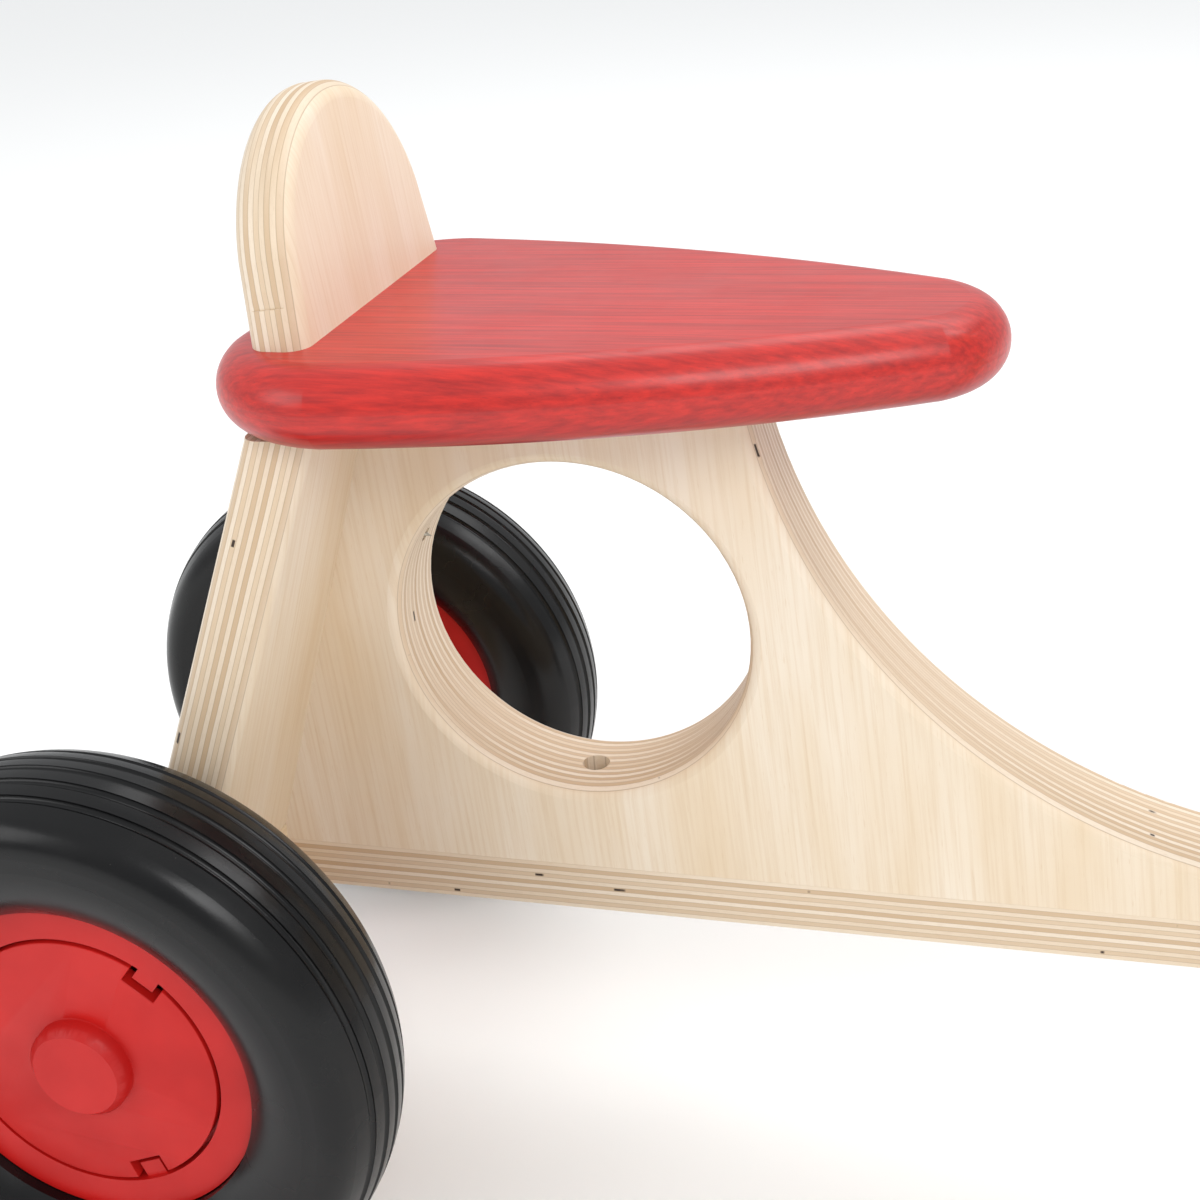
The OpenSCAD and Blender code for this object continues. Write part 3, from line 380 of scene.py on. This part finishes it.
# the grain's streaks are about 50 by 1.5 mm, the pores 6 by 0.4 mm and the cloudy patches 30 mm
long_grain = add(tree, "ShaderNodeVectorMath", {"operation": "MULTIPLY", 0: local, 1: (0.02, 0.7, 0.7)})
grain = add(tree, "ShaderNodeTexNoise", {"Vector": long_grain, "Scale": 1.0, "Detail": 6.0, "Roughness": 0.62})
pores = add(tree, "ShaderNodeVectorMath", {"operation": "MULTIPLY", 0: local, 1: (0.16, 2.4, 2.4)})
pore = add(tree, "ShaderNodeTexNoise", {"Vector": pores, "Scale": 1.0, "Detail": 2.0})
cloud = add(tree, "ShaderNodeTexNoise", {"Vector": local, "Scale": 0.03, "Detail": 4.0, "Roughness": 0.6})
red_tones = add(tree, "ShaderNodeMapRange", {0: grain, 1: 0.35, 2: 0.7})
red_mix = add(tree, "ShaderNodeMix", {"data_type": "RGBA", 0: red_tones, 6: "#CB241A", 7: "#9E1412"})
pore_mask = add(tree, "ShaderNodeMapRange", {0: pore, 1: 0.64, 2: 0.8, 3: 0.0, 4: 0.55})
red_pore = add(tree, "ShaderNodeMix", {"data_type": "RGBA", 0: pore_mask, 6: red_mix, 7: "#6E0E14"})
# the lower half of the round rim is darker and a cooler red in cloudy patches
height = add(tree, "ShaderNodeSeparateXYZ", {0: local})
low_rim = add(tree, "ShaderNodeMapRange", {0: height.outputs[2], 1: -3.0, 2: -9.5, 3: 0.0, 4: 1.0})
low_rim_darkening = add(tree, "ShaderNodeMath", {"operation": "MULTIPLY", 0: low_rim, 1: cloud})
red_all = add(tree, "ShaderNodeMix", {"data_type": "RGBA", 0: low_rim_darkening, 6: red_pore, 7: "#7C1B2A"})
tree.links.new(red_all.outputs[2], shader.inputs["Base Color"])
gloss = add(tree, "ShaderNodeMapRange", {0: cloud, 1: 0.3, 2: 0.7, 3: 0.3, 4: 0.42})
tree.links.new(gloss.outputs[0], shader.inputs["Roughness"])
shader.inputs["IOR"].default_value = 1.5
shader.inputs["Coat Weight"].default_value = 0.15
shader.inputs["Coat Roughness"].default_value = 0.16
relief = add(tree, "ShaderNodeBump", {"Strength": 0.5, "Distance": 0.00006, "Height": grain})
tree.links.new(relief.outputs[0], shader.inputs["Normal"])
dress(["seat"], red_seat)


# ---- Wheels ----
# Tyres of moulded black rubber with a satin skin and a little dust, on rims and caps
# moulded in bright red plastic, with nylon bushes pressed into the hubs.
def rubber(name, base, dust, rough, speck):
    """Moulded rubber with a fine skin, a thin cloudy film and a few specks of dust about 4 mm apart."""
    made, tree, shader = new_material(name)
    where = add(tree, "ShaderNodeTexCoord")
    size = add(tree, "ShaderNodeVectorMath", {"operation": "SCALE",
               0: where.outputs["Object"], "Scale": 1000.0})
    skin = add(tree, "ShaderNodeTexNoise", {"Vector": size, "Scale": 2.5, "Detail": 3.0})
    cloudy = add(tree, "ShaderNodeTexNoise", {"Vector": size, "Scale": 0.04, "Detail": 3.0})
    dots = add(tree, "ShaderNodeTexVoronoi", {"Vector": size, "Scale": 0.22})
    dot = add(tree, "ShaderNodeMapRange", {0: dots.outputs["Distance"],
              1: speck, 2: speck * 0.4, 3: 0.0, 4: 0.5})
    film = add(tree, "ShaderNodeMapRange", {0: cloudy, 1: 0.45, 2: 0.75, 3: 0.0, 4: 0.03})
    both = add(tree, "ShaderNodeMath", {"operation": "MAXIMUM", 0: dot, 1: film})
    paint = add(tree, "ShaderNodeMix", {"data_type": "RGBA", 0: both, 6: base, 7: dust})
    tree.links.new(paint.outputs[2], shader.inputs["Base Color"])
    shine = add(tree, "ShaderNodeMapRange", {0: cloudy, 1: 0.3, 2: 0.7, 3: rough - 0.05, 4: rough + 0.07})
    tree.links.new(shine.outputs[0], shader.inputs["Roughness"])
    bump = add(tree, "ShaderNodeBump", {"Strength": 0.35, "Distance": 0.00004, "Height": skin})
    tree.links.new(bump.outputs[0], shader.inputs["Normal"])
    shader.inputs["IOR"].default_value = 1.52
    shader.inputs["Specular IOR Level"].default_value = 0.28
    return made


def moulded(name, base, shade, rough):
    """Moulded plastic with faint flow marks about 20 mm wide and a fine spark-eroded skin."""
    made, tree, shader = new_material(name)
    where = add(tree, "ShaderNodeTexCoord")
    size = add(tree, "ShaderNodeVectorMath", {"operation": "SCALE",
               0: where.outputs["Object"], "Scale": 1000.0})
    flow = add(tree, "ShaderNodeTexNoise", {"Vector": size, "Scale": 0.05, "Detail": 3.0})
    skin = add(tree, "ShaderNodeTexNoise", {"Vector": size, "Scale": 1.6, "Detail": 2.0})
    tones = add(tree, "ShaderNodeMapRange", {0: flow, 1: 0.3, 2: 0.7})
    paint = add(tree, "ShaderNodeMix", {"data_type": "RGBA", 0: tones, 6: base, 7: shade})
    tree.links.new(paint.outputs[2], shader.inputs["Base Color"])
    shine = add(tree, "ShaderNodeMapRange", {0: flow, 1: 0.3, 2: 0.7, 3: rough - 0.05, 4: rough + 0.05})
    tree.links.new(shine.outputs[0], shader.inputs["Roughness"])
    bump = add(tree, "ShaderNodeBump", {"Strength": 0.2, "Distance": 0.00003, "Height": skin})
    tree.links.new(bump.outputs[0], shader.inputs["Normal"])
    shader.inputs["IOR"].default_value = 1.49
    shader.inputs["Specular IOR Level"].default_value = 0.3
    return made


wheels = {"rear_left": "rear_wheel_left", "rear_right": "rear_wheel_right", "front": "front_wheel"}
# black rubber with hardly any dust, red polypropylene for rims and caps, white nylon for the wheel
# bushes and black nylon for the steering's
dress([w + "_tyre" for w in wheels], rubber("moulded_black_rubber_tyre", "#0A0A0B", "#5E5A56", 0.25, 0.03))
dress([w + "_rim" for w in wheels], moulded("moulded_red_polypropylene_rim", "#C21A17", "#B41512", 0.36))
cap_red = moulded("moulded_red_polypropylene_cap", "#C61D19", "#B81714", 0.4)
dress([w + "_bush" for w in wheels], moulded("white_nylon_bush", "#DEDDD6", "#CFCEC6", 0.45))
dress(["head_bush_lower", "head_bush_upper"], moulded("black_nylon_bush", "#1D1D1F", "#161617", 0.45))
for wheel, body in wheels.items():
    tyre_low, tyre_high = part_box(wheel + "_tyre")
    middle = (tyre_low[1] + tyre_high[1]) / 2

    def raise_disc(form):
        """Brings the cap's disc, 8 mm from the wheel's middle, 2.2 mm further out, past the rim's lip."""
        for corner in form.verts:
            if abs(abs(corner.co.y - middle) - 0.008) < 2e-5:
                corner.co.y += math.copysign(0.0022, corner.co.y - middle)

    eased(wheel + "_cap", body, cap_red, 0.0003, 2, "_raised", raise_disc)


# ---- Grips ----
# Soft black rubber sleeves pushed over the bar's ends, each with a stop flange on the inner side,
# a closed outer end and sixteen moulded rings that keep the hand from sliding.
def lathe(points, turns):
    """Turns (radius, height) points round Z, from pole to pole, in metres. Returns corners and faces."""
    corners = [(0, 0, points[0][1])]
    for radius, height in points[1:-1]:
        for k in range(turns):
            angle = 2 * math.pi * k / turns
            corners.append((radius * math.cos(angle), radius * math.sin(angle), height))
    corners.append((0, 0, points[-1][1]))
    last, faces = len(corners) - 1, []
    for k in range(turns):
        after = (k + 1) % turns
        faces.append((0, 1 + after, 1 + k))
        for ring in range(len(points) - 3):
            base = 1 + ring * turns
            faces.append((base + k, base + after, base + turns + after, base + turns + k))
        faces.append((last, last - turns + k, last - turns + after))
    return corners, faces


def new_piece(name, corners, faces, place=None):
    """An object at the origin with its place in its mesh and its faces pointing outwards."""
    mesh = bpy.data.meshes.new(name)
    mesh.from_pydata(corners, [], faces)
    mesh.transform(place or Matrix())
    form = bmesh.new()
    form.from_mesh(mesh)
    bmesh.ops.recalc_face_normals(form, faces=form.faces)
    form.to_mesh(mesh)
    form.free()
    piece = bpy.data.objects.new(name, mesh)
    scene.collection.objects.link(piece)
    return piece


def new_tree(name, sockets):
    """A geometry tree with a Geometry output and named inputs. Returns it, its input and its output node."""
    tree = bpy.data.node_groups.new(name, "GeometryNodeTree")
    tree.interface.new_socket("Geometry", in_out="INPUT", socket_type="NodeSocketGeometry")
    for label, kind in sockets.items():
        tree.interface.new_socket(label, in_out="INPUT", socket_type="NodeSocket" + kind)
    tree.interface.new_socket("Geometry", in_out="OUTPUT", socket_type="NodeSocketGeometry")
    return tree, tree.nodes.new("NodeGroupInput"), tree.nodes.new("NodeGroupOutput")


def settle(piece, tree, values):
    """Runs a geometry tree on a piece and keeps what it makes as the piece's plain mesh."""
    step = piece.modifiers.new(tree.name, "NODES")
    step.node_group = tree
    for item in tree.interface.items_tree:
        if item.name in values and item.in_out == "INPUT":
            step[item.identifier] = values[item.name]
    graph = bpy.context.evaluated_depsgraph_get()
    mesh = bpy.data.meshes.new_from_object(piece.evaluated_get(graph), depsgraph=graph)
    piece.modifiers.clear()
    piece.data = mesh
    mesh.shade_smooth()
    mesh.set_sharp_from_angle(angle=math.radians(35))


tree, given, result = new_tree("rings_along_a_grip", {"Count": "Int", "First": "Vector", "Pitch": "Vector",
                               "Radius": "Float", "Thickness": "Float", "Material": "Material"})
middles = add(tree, "GeometryNodeMeshLine", {"Count": given.outputs["Count"],
              "Start Location": given.outputs["First"], "Offset": given.outputs["Pitch"]})
round_line = add(tree, "GeometryNodeCurvePrimitiveCircle", {"Resolution": 64,
                 "Radius": given.outputs["Radius"]})
wire = add(tree, "GeometryNodeCurvePrimitiveCircle", {"Resolution": 10, "Radius": given.outputs["Thickness"]})
ring = add(tree, "GeometryNodeCurveToMesh", {"Curve": round_line, "Profile Curve": wire})
rings = add(tree, "GeometryNodeInstanceOnPoints", {"Points": middles, "Instance": ring,
            "Rotation": (math.pi / 2, 0, 0)})
joined = add(tree, "GeometryNodeJoinGeometry")
tree.links.new(rings.outputs[0], joined.inputs[0])
tree.links.new(given.outputs["Geometry"], joined.inputs[0])
real = add(tree, "GeometryNodeRealizeInstances", {"Geometry": joined})
coated = add(tree, "GeometryNodeSetMaterial", {"Geometry": real, "Material": given.outputs["Material"]})
tree.links.new(coated.outputs[0], result.inputs[0])

# the sleeve in millimetres: radius and distance from the middle of the bar
sleeve = [(0, 134.05), (12.55, 134.05), (12.55, 42.0), (18.9, 42.0), (19.5, 42.6), (19.5, 44.9), (18.9, 45.5),
          (16.2, 46.1), (15.2, 47.6), (15.0, 50.0), (15.0, 133.0), (14.6, 135.6), (13.2, 137.4),
          (11.0, 138.0), (0, 138.0)]
# softer and greyer rubber than the tyres'
grip_rubber = rubber("moulded_black_rubber_grip", "#161617", "#4A4846", 0.5, 0.02)
bar_low, bar_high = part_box("handlebar")
bar_x, bar_z = (bar_low[0] + bar_high[0]) / 2, (bar_low[2] + bar_high[2]) / 2
for hand, way in (("left", 1), ("right", -1)):
    corners, faces = lathe([(r / 1000, h / 1000) for r, h in sleeve], 64)
    piece = new_piece("grip_" + hand + "_ribbed", corners, faces,
                      Matrix.Translation((bar_x, 0, bar_z)) @ Matrix.Rotation(-way * math.pi / 2, 4, "X"))
    settle(piece, tree, {"Count": 16, "First": (bar_x, way * 0.053, bar_z), "Pitch": (0, way * 0.005, 0),
                         "Radius": 0.0149, "Thickness": 0.0009, "Material": grip_rubber})
    stand_for("grip_" + hand, piece, "steering")


# ---- Metal fittings ----
# Axles, column, collar, spacers, nuts and screws in mild steel, drawn or turned and zinc plated,
# which leaves a cool soft shine with faint turning marks.
def zinc(name, base, rough):
    """Zinc plated steel with fine turning marks."""
    made, tree, shader = new_material(name)
    where = add(tree, "ShaderNodeTexCoord")
    size = add(tree, "ShaderNodeVectorMath", {"operation": "SCALE",
               0: where.outputs["Object"], "Scale": 1000.0})
    # turning marks, drawn a little coarser than real so that they show
    marks = add(tree, "ShaderNodeTexNoise", {"Vector": size, "Scale": 1.2, "Detail": 4.0, "Roughness": 0.7})
    shine = add(tree, "ShaderNodeMapRange", {0: marks, 1: 0.3, 2: 0.7, 3: rough - 0.06, 4: rough + 0.08})
    tree.links.new(shine.outputs[0], shader.inputs["Roughness"])
    bump = add(tree, "ShaderNodeBump", {"Strength": 0.15, "Distance": 0.00002, "Height": marks})
    tree.links.new(bump.outputs[0], shader.inputs["Normal"])
    shader.inputs["Base Color"].default_value = colour(base)
    shader.inputs["Metallic"].default_value = 1.0
    return made


# bright drawn bar, duller turned parts, and screws with a faint yellow passivation
dress(["rear_axle", "front_axle", "steering_column", "stop_pin"],
      zinc("drawn_steel_bright_zinc", "#B9BBBD", 0.3))
dress(["rear_spacers", "front_spacers", "front_nuts", "rear_retainers", "thrust_washer", "column_collar"],
      zinc("turned_steel_zinc_plated", "#B4B5B6", 0.34))
screw_zinc = zinc("zinc_plated_screw_steel", "#B8B3A6", 0.36)
dress(["tie_screw", "stem_screw", "collar_screw"], screw_zinc)


# ---- Wood screws ----
# Countersunk wood screws of zinc plated steel with a cross recess, driven flush into the panel,
# the strip, the fork blades and the seat.
def screw_form(head, shaft, length):
    """Corners and faces of a screw along Z, its head's face at 0. head and shaft are radii, in metres."""
    turns, deep, arm, half = 24, head * 0.34, head * 0.6, head * 0.15
    corners, faces = lathe([(0, -length), (shaft * 0.3, -length + shaft), (shaft, -length + 3 * shaft),
                            (shaft, shaft - head), (head, 0), (0, 0)], turns)
    faces = [face for face in faces if len(corners) - 1 not in face]
    corners.pop()
    rim = list(range(len(corners) - turns, len(corners)))
    quarter = [(arm, -half), (arm, half), (half, half)]
    cross = []
    for turn in range(4):
        ahead, aside = round(math.cos(turn * math.pi / 2)), round(math.sin(turn * math.pi / 2))
        cross += [(x * ahead - y * aside, x * aside + y * ahead) for x, y in quarter]
    upper = list(range(len(corners), len(corners) + 12))
    corners += [(x, y, 0) for x, y in cross]
    lower = list(range(len(corners), len(corners) + 12))
    corners += [(x * 0.8, y * 0.8, -deep) for x, y in cross]
    flat = rim + upper
    loops = [[Vector(corners[k]) for k in rim], [Vector(corners[k]) for k in upper]]
    faces += [tuple(flat[k] for k in face) for face in tessellate_polygon(loops)]
    faces += [(upper[k], upper[(k + 1) % 12], lower[(k + 1) % 12], lower[k]) for k in range(12)]
    faces.append(tuple(lower))
    return corners, faces


tree, given, result = new_tree("screws_on_points", {"Screw": "Object", "Material": "Material"})
pattern = add(tree, "GeometryNodeObjectInfo", {"Object": given.outputs["Screw"]})
facing = add(tree, "GeometryNodeInputNamedAttribute", {"data_type": "FLOAT_VECTOR", "Name": "facing"})
turned = add(tree, "FunctionNodeAlignRotationToVector", {"axis": "Z", "Vector": facing})
screws = add(tree, "GeometryNodeInstanceOnPoints", {"Points": given.outputs["Geometry"],
             "Instance": pattern.outputs["Geometry"], "Rotation": turned})
real = add(tree, "GeometryNodeRealizeInstances", {"Geometry": screws})
coated = add(tree, "GeometryNodeSetMaterial", {"Geometry": real, "Material": given.outputs["Material"]})
tree.links.new(coated.outputs[0], result.inputs[0])


def drive(node, body, sizes, spots, facings):
    """Puts a screw of these sizes (head, shaft and length in mm) on each spot, in place of a CAD node."""
    corners, faces = screw_form(*(size / 1000 for size in sizes))
    one = new_piece(node + "_pattern", corners, faces)
    piece = new_piece(node + "_crossed", spots, [])
    ways = piece.data.attributes.new("facing", "FLOAT_VECTOR", "POINT")
    ways.data.foreach_set("vector", [value for way in facings for value in way])
    settle(piece, tree, {"Screw": one, "Material": screw_zinc})
    bpy.data.objects.remove(one)
    stand_for(node, piece, body)


rearward = Vector((-math.cos(panel_lean), 0, math.sin(panel_lean)))
up_panel = Vector((math.sin(panel_lean), 0, math.cos(panel_lean)))
panel_rear = rear_spot + rearward * (0.018 - 0.0114)
drive("panel_screws", "frame", (4.4, 2.2, 40),
      [panel_rear + up_panel * up for up in (0.03, 0.075, 0.12)], [rearward] * 3)
# the last screw in the strip sits under the lowest point of the sweep
last_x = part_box("sole_screws")[1][0] - 0.0042
drive("sole_screws", "frame", (4.2, 2.0, 22),
      [(x, 0, 0.0745) for x in (-0.1575, last_x - 0.06, last_x)], [(0, 0, -1)] * 3)
drive("backrest_screws", "frame", (4.4, 2.2, 44),
      [(-0.1745, y, 0.2375) for y in (-0.03, 0.03)], [(0, 0, -1)] * 2)
fork_ahead = Vector((math.cos(fork_turn), 0, -math.sin(fork_turn)))
fork_up = Vector((math.sin(fork_turn), 0, math.cos(fork_turn)))
crown_row = [Vector(fork_spot) + fork_ahead * x + fork_up * 0.1005 for x in (-0.015, 0.015)]
drive("crown_screws", "steering", (4.2, 2.0, 35),
      [spot + Vector((0, side_y, 0)) for side_y in (-0.0415, 0.0415) for spot in crown_row],
      [(0, way, 0) for way in (-1, 1) for spot in crown_row])
